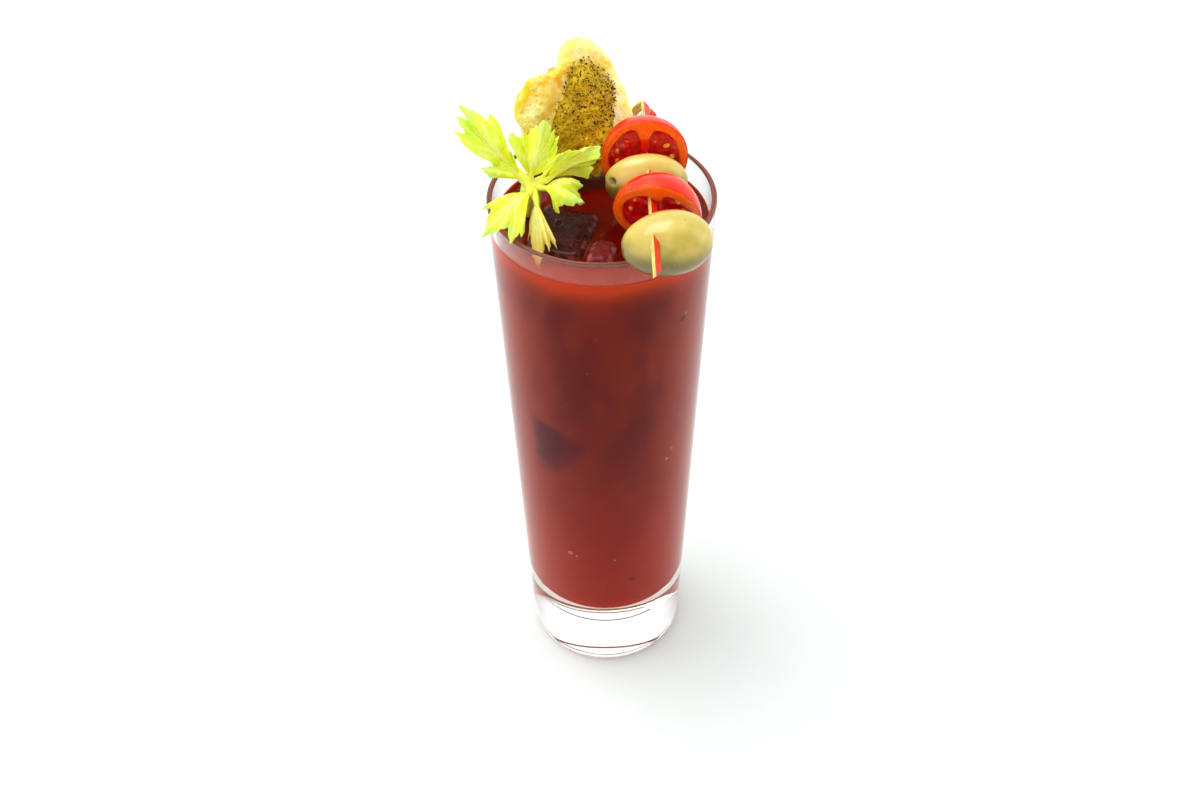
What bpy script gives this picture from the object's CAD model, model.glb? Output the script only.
"""Bloody mary in its tall glass: fine meshes, finishes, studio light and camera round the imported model.

Metres, +Z up. The origin is the centre of the glass's foot, +X is to the right and +Y away from the viewer.
"""

from __future__ import annotations

import itertools
import logging
import math
from dataclasses import dataclass, field
from enum import Enum

import bmesh
import bpy
import numpy as np
from mathutils import Matrix, Vector


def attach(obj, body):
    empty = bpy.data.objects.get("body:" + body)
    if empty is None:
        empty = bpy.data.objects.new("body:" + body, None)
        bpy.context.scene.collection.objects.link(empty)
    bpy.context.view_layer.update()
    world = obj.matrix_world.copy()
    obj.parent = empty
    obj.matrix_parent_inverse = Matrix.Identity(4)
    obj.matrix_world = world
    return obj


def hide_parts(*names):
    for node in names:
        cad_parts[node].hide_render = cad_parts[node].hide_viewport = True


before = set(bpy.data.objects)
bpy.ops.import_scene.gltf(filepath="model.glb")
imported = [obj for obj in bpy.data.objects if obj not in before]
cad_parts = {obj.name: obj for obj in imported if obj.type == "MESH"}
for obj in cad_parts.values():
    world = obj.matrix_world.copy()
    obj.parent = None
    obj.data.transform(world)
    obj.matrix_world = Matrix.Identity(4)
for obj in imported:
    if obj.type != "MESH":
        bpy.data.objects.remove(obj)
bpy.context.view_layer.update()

MM = 0.001
LEVEL = 156.7
log = logging.getLogger("bloody_mary")

Array = np.ndarray
Material = bpy.types.Material
Socket = bpy.types.NodeSocket
Colour = tuple[float, float, float]
Point = tuple[float, float, float]
Place = tuple[float, float]


class Slot(Enum):
    """The record's material slots."""

    GLASS = "clear_glass"
    JUICE = "tomato_juice"
    ICE = "stained_ice"
    TOAST = "toasted_bread"
    PASTE = "herb_paste"
    CELERY = "celery_leaf"
    PICK = "painted_bamboo"
    OLIVE = "green_olive"
    TOMATO = "cherry_tomato"


# Arrays and fields


def unit(vectors: Array) -> Array:
    """Vectors scaled to length one along the last axis."""
    return vectors / np.maximum(np.linalg.norm(vectors, axis=-1, keepdims=True), 1e-12)


def ease(x: Array, low: float, high: float) -> Array:
    """0 below low, 1 above high and 3t^2 - 2t^3 between, where t is the share of the way.

    Args:
        x: Values to read.
        low: Where the rise starts.
        high: Where it ends.

    Returns:
        The eased values.
    """
    t = np.clip((x - low) / (high - low), 0.0, 1.0)
    return t * t * (3.0 - 2.0 * t)


def rotation(axis: str, degrees: float) -> Array:
    """Matrix of a turn about one axis."""
    return np.array(Matrix.Rotation(math.radians(degrees), 3, axis))


def arc(centre: Place, radius: float, start: float, end: float, count: int) -> Array:
    """Points centre + radius * (cos a, sin a), for an angle a from start to end degrees.

    Args:
        centre: Centre as (radius, height).
        radius: Radius of the arc.
        start: First angle in degrees.
        end: Last angle in degrees.
        count: Number of points.

    Returns:
        An array of (radius, height) rows.
    """
    turn = np.radians(np.linspace(start, end, count))
    return np.stack([centre[0] + radius * np.cos(turn), centre[1] + radius * np.sin(turn)], axis=-1)


def around(r: Array | float, turn: Array, z: Array | float) -> Array:
    """Points (r cos a, r sin a, z) at angles a about Z."""
    return np.stack([r * np.cos(turn), r * np.sin(turn), z + 0.0 * turn], axis=-1)


def revolve(profile: Array, turns: int) -> Array:
    """Profile rows (r, z) carried round Z in even steps.

    Args:
        profile: Rows of (radius, height).
        turns: Number of columns round the axis.

    Returns:
        A grid of points, rows by columns by 3.
    """
    turn = np.linspace(0.0, 2.0 * np.pi, turns, endpoint=False)
    return around(profile[:, :1], turn, profile[:, 1:])


def front_and_back(front: Array, back: Array) -> Array:
    """Rows of a front from its middle out to the rim, then those of its back from the rim in."""
    return np.concatenate([front, back[-2::-1]])


def top_and_bottom(top: Array, bottom: Array) -> Array:
    """Columns of a top sheet and back along its bottom sheet, as one closed band."""
    return np.concatenate([top, bottom[:, ::-1]], axis=1)


def closed_curve(corners: Array, shares: Array) -> Array:
    """Closed cubic through corner points, each stretch blended from the four corners round it.

    Args:
        corners: Corner points, n by 2.
        shares: Shares of the way round, from 0 to 1.

    Returns:
        One point for each share.
    """
    place = (shares % 1.0) * len(corners)
    index = np.floor(place).astype(int)
    t = (place - index)[..., None]
    a, b, c, d = (corners[(index + k) % len(corners)] for k in (-1, 0, 1, 2))
    return 0.5 * (2 * b + (c - a) * t + (2 * a - 5 * b + 4 * c - d) * t**2 + (3 * b - a - 3 * c + d) * t**3)


class Noise:
    """Smooth random field: a repeating lattice of numbers, eased between the corners of each cell."""

    cells = 24

    def __init__(self, seed: int) -> None:
        """Fill the lattice with numbers from -1 to 1."""
        self.lattice = np.random.default_rng(seed).uniform(-1.0, 1.0, (self.cells,) * 3)

    def at(self, points: Array, size: float) -> Array:
        """Value at each point for cells of one size: corner values times the eased share of each axis.

        Args:
            points: Points in millimetres, any shape by 3.
            size: Edge of a cell in millimetres.

        Returns:
            Values from -1 to 1.
        """
        place = points / size + 100.0
        cell = np.floor(place).astype(int)
        t = ease(place - cell, 0.0, 1.0)
        total = np.zeros(points.shape[:-1])
        for corner in itertools.product((0, 1), repeat=3):
            index = np.moveaxis((cell + corner) % self.cells, -1, 0)
            total += np.prod(np.where(corner, t, 1.0 - t), axis=-1) * self.lattice[tuple(index)]
        return total

    def layered(self, points: Array, size: float, layers: int = 3) -> Array:
        """Sum of fields whose cells and heights halve from layer to layer."""
        return sum(self.at(points + 7.3 * k, size / 2**k) / 2**k for k in range(layers))


# Meshes


@dataclass
class Surface:
    """Points in millimetres, four-cornered faces and values of a piece while it is put together."""

    points: Array
    faces: Array
    values: dict[str, Array] = field(default_factory=dict)
    finish: Array | None = None

    @classmethod
    def grid(
        cls,
        points: Array,
        values: dict[str, Array] | None = None,
        wrap: bool = True,
        finish: Array | None = None,
    ) -> Surface:
        """Faces between neighbouring rows and columns of a grid of points.

        Args:
            points: Rows by columns by 3.
            values: Named values with the grid's rows and columns.
            wrap: Whether the last column joins the first.
            finish: Material number of each column of faces.

        Returns:
            The surface.
        """
        rows, columns = points.shape[:2]
        number = np.arange(rows * columns).reshape(rows, columns)
        near = number if wrap else number[:, :-1]
        far = np.roll(number, -1, axis=1) if wrap else number[:, 1:]
        faces = np.stack([near[:-1], far[:-1], far[1:], near[1:]], axis=-1).reshape(-1, 4)
        flat = {name: np.broadcast_to(v, (rows, columns)).reshape(-1) for name, v in (values or {}).items()}
        slots = None if finish is None else np.tile(finish, rows - 1)
        return cls(points.reshape(-1, 3), faces, flat, slots)

    @classmethod
    def joined(cls, parts: list[Surface]) -> Surface:
        """One surface of several that share their value names.

        Args:
            parts: Surfaces with the same value names.

        Returns:
            The joined surface.
        """
        starts = np.cumsum([0] + [len(part.points) for part in parts[:-1]])
        names = parts[0].values
        return cls(
            np.concatenate([part.points for part in parts]),
            np.concatenate([part.faces + start for part, start in zip(parts, starts)]),
            {name: np.concatenate([part.values[name] for part in parts]) for name in names},
        )

    def mesh(self, name: str) -> bpy.types.Mesh:
        """The mesh in metres, with its poles and seams welded and its faces turned outwards.

        Args:
            name: Name of the mesh.

        Returns:
            The mesh.
        """
        mesh = bpy.data.meshes.new(name)
        mesh.vertices.add(len(self.points))
        mesh.vertices.foreach_set("co", (self.points * MM).astype(np.float32).ravel())
        mesh.loops.add(self.faces.size)
        mesh.loops.foreach_set("vertex_index", self.faces.astype(np.int32).ravel())
        mesh.polygons.add(len(self.faces))
        mesh.polygons.foreach_set("loop_start", np.arange(0, self.faces.size, 4, dtype=np.int32))
        if self.finish is not None:
            mesh.polygons.foreach_set("material_index", self.finish.astype(np.int32))
        for key, value in self.values.items():
            layer = mesh.attributes.new(key, "FLOAT", "POINT")
            layer.data.foreach_set("value", value.astype(np.float32))
        mesh.update(calc_edges=True)
        bm = bmesh.new()
        bm.from_mesh(mesh)
        bmesh.ops.remove_doubles(bm, verts=bm.verts, dist=1e-7)
        bmesh.ops.recalc_face_normals(bm, faces=bm.faces)
        bm.to_mesh(mesh)
        bm.free()
        mesh.shade_smooth()
        return mesh

    def piece(self, name: str, material: Slot, nodes: tuple[str, ...], *finishes: Material) -> None:
        """An object of the drink, riding on its body.

        Args:
            name: Name of the piece.
            material: The record's material slot.
            nodes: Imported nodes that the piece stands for.
            finishes: Materials in the order of the faces' material numbers.
        """
        mesh = self.mesh(name)
        for finish in finishes:
            mesh.materials.append(finish)
        obj = bpy.data.objects.new(name, mesh)
        bpy.context.scene.collection.objects.link(obj)
        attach(obj, "root")
        if nodes:
            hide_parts(*nodes)
        log.info("%s: %d faces", name, len(mesh.polygons))


def balls(centres: Array, halves: Array, frames: Array, tone: Array, rows: int) -> Surface:
    """Many small balls: centre + frame * (half sizes * unit ball point), as one surface.

    Args:
        centres: Centre of each ball, n by 3.
        halves: Half sizes of each ball, n by 3.
        frames: Axes of each ball as matrix columns, n by 3 by 3.
        tone: A value for each ball.
        rows: Rows of faces from pole to pole.

    Returns:
        The joined surface with the value tone.
    """
    polar = np.linspace(0.0, np.pi, rows)
    unit_ball = revolve(np.stack([np.sin(polar), np.cos(polar)], axis=-1), rows + 2)
    local = unit_ball[None] * halves[:, None, None, :]
    world = np.einsum("nij,nrcj->nrci", frames, local) + centres[:, None, None, :]
    parts = [Surface.grid(points, {"tone": np.array([[value]])}) for points, value in zip(world, tone)]
    return Surface.joined(parts)


def frames_along(normals: Array, spin: Array) -> Array:
    """Matrices whose third column is each normal, turned about it by spin.

    Args:
        normals: Unit vectors, n by 3.
        spin: Turn about each in radians.

    Returns:
        Matrices, n by 3 by 3.
    """
    helper = np.where(np.abs(normals[:, 2:]) < 0.9, [[0.0, 0.0, 1.0]], [[1.0, 0.0, 0.0]])
    first = unit(np.cross(helper, normals))
    second = np.cross(normals, first)
    cos, sin = np.cos(spin)[:, None], np.sin(spin)[:, None]
    return np.stack([first * cos + second * sin, second * cos - first * sin, normals], axis=-1)


# Finishes


def shown(red: int, green: int, blue: int) -> Colour:
    """A colour as a screen shows it, from 0 to 255, turned to linear light.

    Args:
        red: Red share.
        green: Green share.
        blue: Blue share.

    Returns:
        The linear colour.
    """
    parts = np.array([red, green, blue]) / 255.0
    linear = np.where(parts <= 0.04045, parts / 12.92, ((parts + 0.055) / 1.055) ** 2.4)
    return tuple(float(part) for part in linear)


class Graph:
    """Shader nodes of one material, joined by short calls."""

    def __init__(self, name: str) -> None:
        """Start a material with its Principled shader.

        Args:
            name: Name of the material.
        """
        self.material = bpy.data.materials.new(name)
        self.material.use_nodes = True
        self.tree = self.material.node_tree
        self.shader = self.tree.nodes["Principled BSDF"]
        self.place = self.tree.nodes.new("ShaderNodeTexCoord").outputs["Object"]

    def feed(self, socket: Socket, value: object) -> None:
        """Link a socket into another, or set a plain value on it.

        Args:
            socket: Input to set.
            value: A socket, a colour or a number.
        """
        if isinstance(value, Socket):
            self.tree.links.new(value, socket)
        elif isinstance(value, tuple) and len(value) == 3 and socket.type == "RGBA":
            socket.default_value = (*value, 1.0)
        else:
            socket.default_value = value

    def dress(self, **values: object) -> None:
        """Set or link the shader's inputs, with an underscore for each space in a name."""
        for name, value in values.items():
            self.feed(self.shader.inputs[name.replace("_", " ")], value)

    def value(self, name: str) -> Socket:
        """A named value of the mesh.

        Args:
            name: The value's name.

        Returns:
            The value.
        """
        node = self.tree.nodes.new("ShaderNodeAttribute")
        node.attribute_name = name
        return node.outputs["Fac"]

    def moved(self, stretch: Point = (1.0, 1.0, 1.0), turn: Point = (0.0, 0.0, 0.0)) -> Socket:
        """Object coordinates turned by degrees and stretched.

        Args:
            stretch: Factor along each axis.
            turn: Degrees about each axis.

        Returns:
            The coordinates.
        """
        node = self.tree.nodes.new("ShaderNodeMapping")
        node.inputs["Scale"].default_value = stretch
        node.inputs["Rotation"].default_value = [math.radians(a) for a in turn]
        self.feed(node.inputs["Vector"], self.place)
        return node.outputs["Vector"]

    def noise(
        self, size: float, detail: float = 3.0, rough: float = 0.5, place: Socket | None = None
    ) -> Socket:
        """Noise with features of about one size in millimetres.

        Args:
            size: Size of a feature.
            detail: Number of finer layers.
            rough: Share of each finer layer.
            place: Coordinates to read, or none for the object's.

        Returns:
            Values about 0.5.
        """
        node = self.tree.nodes.new("ShaderNodeTexNoise")
        node.inputs["Scale"].default_value = 1.0 / (size * MM)
        node.inputs["Detail"].default_value = detail
        node.inputs["Roughness"].default_value = rough
        self.feed(node.inputs["Vector"], place or self.place)
        return node.outputs["Fac"]

    def cells(self, size: float, place: Socket | None = None) -> Socket:
        """Distance to the nearest of scattered points about one size apart in millimetres.

        Args:
            size: Distance between points.
            place: Coordinates to read, or none for the object's.

        Returns:
            The distance as a share of the size.
        """
        node = self.tree.nodes.new("ShaderNodeTexVoronoi")
        node.inputs["Scale"].default_value = 1.0 / (size * MM)
        self.feed(node.inputs["Vector"], place or self.place)
        return node.outputs["Distance"]

    def facing(self) -> Socket:
        """0 where the surface faces the eye, rising to 1 where it turns away."""
        return self.tree.nodes.new("ShaderNodeLayerWeight").outputs["Facing"]

    def ramp(self, factor: Socket, low: float, high: float, start: float = 0.0, end: float = 1.0) -> Socket:
        """A factor from low to high mapped to start to end, eased and held outside.

        Args:
            factor: What is read.
            low: Where the way starts.
            high: Where it ends.
            start: Value at low.
            end: Value at high.

        Returns:
            The mapped value.
        """
        node = self.tree.nodes.new("ShaderNodeMapRange")
        node.interpolation_type = "SMOOTHSTEP"
        for name, value in (("From Min", low), ("From Max", high), ("To Min", start), ("To Max", end)):
            node.inputs[name].default_value = value
        self.feed(node.inputs["Value"], factor)
        return node.outputs["Result"]

    def calculate(self, operation: str, first: object, second: object) -> Socket:
        """A calculation with two numbers.

        Args:
            operation: What is done, in capitals.
            first: A socket or a number.
            second: A socket or a number.

        Returns:
            The result.
        """
        node = self.tree.nodes.new("ShaderNodeMath")
        node.operation = operation
        self.feed(node.inputs[0], first)
        self.feed(node.inputs[1], second)
        return node.outputs["Value"]

    def plus(self, first: object, second: object) -> Socket:
        """Sum of two numbers."""
        return self.calculate("ADD", first, second)

    def minus(self, first: object, second: object) -> Socket:
        """Difference of two numbers."""
        return self.calculate("SUBTRACT", first, second)

    def times(self, first: object, second: object) -> Socket:
        """Product of two numbers."""
        return self.calculate("MULTIPLY", first, second)

    def mix(self, factor: object, first: object, second: object) -> Socket:
        """The second colour laid over the first by a factor.

        Args:
            factor: Share of the second.
            first: Colour below.
            second: Colour above.

        Returns:
            The mixed colour.
        """
        node = self.tree.nodes.new("ShaderNodeMix")
        node.data_type = "RGBA"
        self.feed(node.inputs["Factor"], factor)
        self.feed(node.inputs[6], first)
        self.feed(node.inputs[7], second)
        return node.outputs[2]

    def bump(self, height: object, distance: float, strength: float = 1.0) -> None:
        """Relief of a height field, with a distance in millimetres, on the shader's normal.

        Args:
            height: The field.
            distance: Height of 1 in it.
            strength: Share that shows.
        """
        node = self.tree.nodes.new("ShaderNodeBump")
        node.inputs["Distance"].default_value = distance * MM
        node.inputs["Strength"].default_value = strength
        self.feed(node.inputs["Height"], height)
        self.feed(self.shader.inputs["Normal"], node.outputs["Normal"])

    def seep(self, weight: float, *reach: float) -> None:
        """Light that spreads under the surface, with its reach in millimetres in red, green and blue."""
        self.dress(Subsurface_Weight=weight, Subsurface_Radius=reach, Subsurface_Scale=MM)

    def let_lamps_through(self, tint: Colour) -> None:
        """Let light rays pass, as clear glass does, by a Transparent shader.

        Args:
            tint: Colour of the light that has passed.
        """
        nodes, links = self.tree.nodes, self.tree.links
        kinds = ("LightPath", "BsdfTransparent", "MixShader")
        path, clear, mix = (nodes.new("ShaderNode" + kind) for kind in kinds)
        clear.inputs["Color"].default_value = (*tint, 1.0)
        links.new(path.outputs["Is Shadow Ray"], mix.inputs["Fac"])
        links.new(self.shader.outputs["BSDF"], mix.inputs[1])
        links.new(clear.outputs["BSDF"], mix.inputs[2])
        links.new(mix.outputs["Shader"], nodes["Material Output"].inputs["Surface"])


@dataclass(frozen=True)
class Finish:
    """A finish that paints itself on the graph of a new material."""

    name: str

    def material(self) -> Material:
        """The finish as a material.

        Returns:
            A new material with the finish's name.
        """
        g = Graph(self.name)
        self.paint(g)
        return g.material


@dataclass(frozen=True)
class ClearGlass(Finish):
    """Polished soda glass, a little cloudy along its rounded rim and tinted at its heel."""

    name: str = "clear_glass"
    tint: Colour = (0.985, 0.995, 0.99)
    rim: Colour = shown(176, 142, 131)
    heel: Colour = shown(206, 176, 168)

    def paint(self, g: Graph) -> None:
        """Set the finish's colours and surface.

        Args:
            g: Graph of the new material.
        """
        rim = g.value("rim")
        colour = g.mix(g.value("heel"), g.mix(rim, self.tint, self.rim), self.heel)
        g.dress(Base_Color=colour, Roughness=0.0, IOR=1.5)
        g.dress(Transmission_Weight=g.ramp(rim, 0.0, 1.0, 1.0, 0.72), Specular_Tint=(0.2, 0.2, 0.2))
        g.let_lamps_through((0.93, 0.95, 0.94))


@dataclass(frozen=True)
class TomatoJuice(Finish):
    """Thick drink: cloudy red behind the wall, orange under the level and low down, dark and wet on top."""

    name: str = "tomato_juice"
    body: Colour = shown(134, 41, 26)
    cloud: Colour = shown(110, 30, 26)
    swirl: Colour = shown(140, 54, 30)
    low: Colour = shown(169, 40, 20)
    band: Colour = shown(210, 72, 26)
    side: Colour = shown(198, 66, 32)
    under: Colour = shown(236, 130, 100)
    top: Colour = shown(112, 14, 8)
    shade: Colour = shown(84, 6, 8)
    ice: Colour = shown(92, 16, 36)

    def paint(self, g: Graph) -> None:
        """Set the finish's colours and surface.

        Args:
            g: Graph of the new material.
        """
        surface = g.value("surface")
        drift = g.noise(14.0, 4.0, 0.55, g.moved((1.0, 1.0, 0.55), (20.0, 0.0, 0.0)))
        colour = g.mix(g.ramp(drift, 0.35, 0.68), self.body, self.cloud)
        swirl = g.noise(7.0, 5.0, 0.6, g.moved((1.0, 1.0, 0.45), (0.0, 25.0, 0.0)))
        colour = g.mix(g.ramp(swirl, 0.52, 0.74, 0.0, 0.6), colour, self.swirl)
        colour = g.mix(g.value("low"), colour, self.low)
        colour = g.mix(g.ramp(g.facing(), 0.13, 0.25, 0.0, 0.5), colour, self.side)
        colour = g.mix(g.value("under"), colour, self.under)
        colour = g.mix(g.ramp(g.value("band"), 0.0, 1.0, 0.0, 0.95), colour, self.band)
        colour = g.mix(g.ramp(g.value("sunk_ice"), 0.0, 1.0, 0.0, 0.85), colour, self.ice)
        wet = g.mix(g.ramp(g.noise(6.0, 3.0), 0.4, 0.7, 0.0, 0.5), self.top, self.shade)
        colour = g.mix(surface, colour, wet)
        g.dress(Base_Color=colour, Roughness=g.ramp(surface, 0.0, 1.0, 0.6, 0.08), IOR=1.35)
        g.dress(Specular_IOR_Level=g.ramp(surface, 0.0, 1.0, 0.0, 0.5))
        g.seep(0.12, 2.0, 0.6, 0.4)
        g.bump(g.times(g.noise(3.2, 3.0), surface), 0.12, 0.3)


@dataclass(frozen=True)
class JuiceFilm(Finish):
    """Thin see-through smear of the drink, in streaks."""

    name: str = "juice_film"
    colour: Colour = shown(218, 104, 88)
    cover: float = 0.68

    def paint(self, g: Graph) -> None:
        """Set the finish's colours and surface.

        Args:
            g: Graph of the new material.
        """
        streaks = g.noise(9.0, 2.0, 0.4, g.moved((1.0, 1.0, 0.3)))
        share = g.ramp(streaks, 0.3, 0.7, 0.75 * self.cover, self.cover)
        g.dress(Base_Color=self.colour, Alpha=g.times(g.value("cover"), share), Roughness=0.35)


@dataclass(frozen=True)
class StainedIce(Finish):
    """Melting ice in the drink: dark and wet with frosty specks and pale edges."""

    deep: Colour
    frost: Colour
    edge: Colour
    frosting: float

    def paint(self, g: Graph) -> None:
        """Set the finish's colours and surface.

        Args:
            g: Graph of the new material.
        """
        specks = g.noise(0.9, 5.0, 0.65)
        patches = g.noise(4.5, 3.0)
        frost = g.times(g.ramp(specks, 0.5, 0.64), g.ramp(patches, 0.35, 0.7, 0.25, 1.0))
        colour = g.mix(g.times(frost, self.frosting), self.deep, self.frost)
        rim = g.times(g.value("edge"), g.ramp(g.noise(2.4, 3.0), 0.4, 0.66, 0.05, 0.45))
        colour = g.mix(rim, colour, self.edge)
        g.dress(Base_Color=colour, Roughness=g.ramp(specks, 0.4, 0.7, 0.06, 0.4), IOR=1.31)
        g.seep(0.2, 2.0, 0.8, 0.6)
        g.dress(Coat_Weight=0.25, Coat_Roughness=0.06, Specular_IOR_Level=0.35)
        g.bump(g.plus(specks, g.noise(0.45, 3.0)), 0.28, 0.7)


@dataclass(frozen=True)
class ToastedBread(Finish):
    """Dry pale crumb with golden patches and brown specks."""

    name: str = "toasted_bread"
    crumb: Colour = shown(254, 236, 140)
    cream: Colour = shown(255, 248, 190)
    gold: Colour = shown(244, 196, 16)
    brown: Colour = shown(140, 78, 6)
    pore: Colour = shown(214, 158, 60)
    soaked: Colour = shown(84, 34, 12)

    def paint(self, g: Graph) -> None:
        """Set the finish's colours and surface.

        Args:
            g: Graph of the new material.
        """
        soft = g.noise(3.2, 4.0, 0.6)
        colour = g.mix(g.ramp(soft, 0.38, 0.66), self.crumb, self.cream)
        patchy = g.times(g.value("gold"), g.ramp(g.noise(2.0, 5.0, 0.65), 0.3, 0.62, 0.15, 1.0))
        colour = g.mix(patchy, colour, self.gold)
        specks = g.ramp(g.noise(0.55, 4.0, 0.7), 0.6, 0.72)
        colour = g.mix(g.times(specks, g.value("burnt")), colour, self.brown)
        pores = g.ramp(g.cells(0.75), 0.05, 0.34)
        colour = g.mix(g.ramp(pores, 0.0, 1.0, 0.35, 0.0), colour, self.pore)
        colour = g.mix(g.value("soaked"), colour, self.soaked)
        g.dress(Base_Color=colour, Roughness=0.85, Specular_IOR_Level=0.25)
        g.seep(0.15, 2.0, 1.4, 0.6)
        g.bump(g.plus(pores, g.noise(0.8, 4.0, 0.6)), 0.22, 0.6)


@dataclass(frozen=True)
class HerbPaste(Finish):
    """Grainy olive-brown paste."""

    name: str = "herb_paste"
    paste: Colour = shown(194, 160, 2)
    light: Colour = shown(226, 190, 16)
    dark: Colour = shown(134, 96, 2)
    crust: Colour = shown(236, 204, 96)
    speck: Colour = shown(60, 28, 6)

    def paint(self, g: Graph) -> None:
        """Set the finish's colours and surface.

        Args:
            g: Graph of the new material.
        """
        broad = g.noise(4.0, 4.0, 0.6)
        grain = g.noise(0.85, 4.0, 0.7)
        colour = g.mix(g.ramp(broad, 0.38, 0.66), self.paste, self.light)
        colour = g.mix(g.ramp(grain, 0.5, 0.66, 0.0, 0.85), colour, self.dark)
        specks = g.ramp(g.noise(0.5, 3.0, 0.7, g.moved((1.0, 1.0, 1.3), (30.0, 10.0, 0.0))), 0.6, 0.7)
        coarse = g.ramp(g.value("coarse"), 0.0, 1.0, 0.35, 1.0)
        colour = g.mix(g.times(specks, coarse), colour, self.speck)
        border = g.times(g.value("border"), g.ramp(broad, 0.35, 0.6, 0.5, 1.0))
        colour = g.mix(border, colour, self.crust)
        g.dress(Base_Color=colour, Roughness=g.ramp(grain, 0.4, 0.7, 0.35, 0.75), Specular_IOR_Level=0.35)
        g.bump(g.plus(grain, specks), 0.3, 0.9)


@dataclass(frozen=True)
class Flakes(Finish):
    """Small dry bits in three tones: dark, olive and pale."""

    dark: Colour
    middle: Colour
    pale: Colour

    def paint(self, g: Graph) -> None:
        """Set the finish's colours and surface.

        Args:
            g: Graph of the new material.
        """
        tone = g.value("tone")
        colour = g.mix(g.ramp(tone, 0.3, 0.4), self.dark, self.middle)
        colour = g.mix(g.ramp(tone, 0.75, 0.85), colour, self.pale)
        shade = g.ramp(g.noise(0.3, 2.0), 0.3, 0.7, 0.0, 0.4)
        colour = g.mix(shade, colour, self.dark)
        g.dress(Base_Color=colour, Roughness=0.4, Specular_IOR_Level=0.5)
        g.bump(g.noise(0.25, 2.0), 0.05, 0.5)


@dataclass(frozen=True)
class CeleryLeaf(Finish):
    """Thin yellow-green leaf, greener to its tips, with pale veins."""

    name: str = "celery_leaf"
    inner: Colour = shown(236, 240, 40)
    blade: Colour = shown(228, 243, 74)
    tip: Colour = shown(208, 246, 116)
    vein: Colour = shown(250, 254, 180)
    faded: Colour = shown(244, 224, 116)
    brown: Colour = shown(150, 92, 30)
    fleck: Colour = shown(204, 222, 40)

    def paint(self, g: Graph) -> None:
        """Set the finish's colours and surface.

        Args:
            g: Graph of the new material.
        """
        reach = g.value("reach")
        mottle = g.noise(2.6, 4.0, 0.6)
        wander = g.plus(reach, g.ramp(mottle, 0.3, 0.7, -0.18, 0.18))
        colour = g.mix(g.ramp(wander, 0.1, 0.5), self.inner, self.blade)
        colour = g.mix(g.ramp(wander, 0.55, 1.0), colour, self.tip)
        colour = g.mix(g.ramp(g.noise(0.9, 4.0, 0.6), 0.45, 0.75, 0.0, 0.3), colour, self.fleck)
        old = g.value("old")
        colour = g.mix(g.times(old, 0.9), colour, self.faded)
        edge = g.plus(reach, g.ramp(mottle, 0.3, 0.7, -0.12, 0.12))
        colour = g.mix(g.times(old, g.ramp(edge, 0.9, 1.04)), colour, self.brown)
        colour = g.mix(g.times(g.value("vein"), 0.6), colour, self.vein)
        g.dress(Base_Color=colour, Roughness=0.42, Specular_IOR_Level=0.35)
        g.seep(0.12, 0.8, 0.9, 0.3)
        g.bump(g.noise(0.55, 4.0, 0.6), 0.18, 0.7)


@dataclass(frozen=True)
class Bamboo(Finish):
    """Split bamboo with long fibres, bare or painted."""

    base: Colour
    fibre: Colour
    roughness: float

    def paint(self, g: Graph) -> None:
        """Set the finish's colours and surface.

        Args:
            g: Graph of the new material.
        """
        fibres = g.noise(0.35, 4.0, 0.6, g.moved((1.0, 0.04, 1.0)))
        colour = g.mix(g.ramp(fibres, 0.4, 0.68), self.base, self.fibre)
        blotch = g.ramp(g.noise(3.0, 3.0), 0.5, 0.75, 0.0, 0.35)
        colour = g.mix(blotch, colour, self.fibre)
        g.dress(Base_Color=colour, Roughness=self.roughness, Specular_IOR_Level=0.4)
        g.bump(fibres, 0.06, 0.6)


@dataclass(frozen=True)
class GreenOlive(Finish):
    """Smooth wet skin, straw above and olive brown below, with faint pale dots and small pits."""

    name: str = "green_olive"
    straw: Colour = shown(222, 196, 108)
    green: Colour = shown(184, 168, 66)
    shade: Colour = shown(88, 74, 10)
    dot: Colour = shown(238, 226, 160)
    pit: Colour = shown(110, 84, 26)
    hole: Colour = shown(58, 62, 26)

    def paint(self, g: Graph) -> None:
        """Set the finish's colours and surface.

        Args:
            g: Graph of the new material.
        """
        broad = g.noise(9.0, 3.0, 0.5)
        colour = g.mix(g.ramp(broad, 0.4, 0.75, 0.0, 0.8), self.straw, self.green)
        under = g.plus(g.value("under"), g.ramp(broad, 0.3, 0.7, -0.06, 0.06))
        colour = g.mix(g.ramp(under, 0.0, 1.0, 0.0, 0.85), colour, self.shade)
        dots = g.ramp(g.cells(1.25), 0.1, 0.2, 1.0, 0.0)
        colour = g.mix(g.times(dots, 0.14), colour, self.dot)
        pits = g.ramp(g.cells(4.4, g.moved((1.0, 1.0, 1.0), (40.0, 20.0, 0.0))), 0.02, 0.06, 1.0, 0.0)
        colour = g.mix(g.times(pits, 0.5), colour, self.pit)
        colour = g.mix(g.value("hole"), colour, self.hole)
        g.dress(Base_Color=colour, Roughness=0.3, IOR=1.42, Coat_Weight=0.6, Coat_Roughness=0.13)
        g.seep(0.25, 1.6, 1.3, 0.4)
        g.bump(g.minus(g.noise(2.4, 3.0), pits), 0.06, 0.5)


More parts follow.
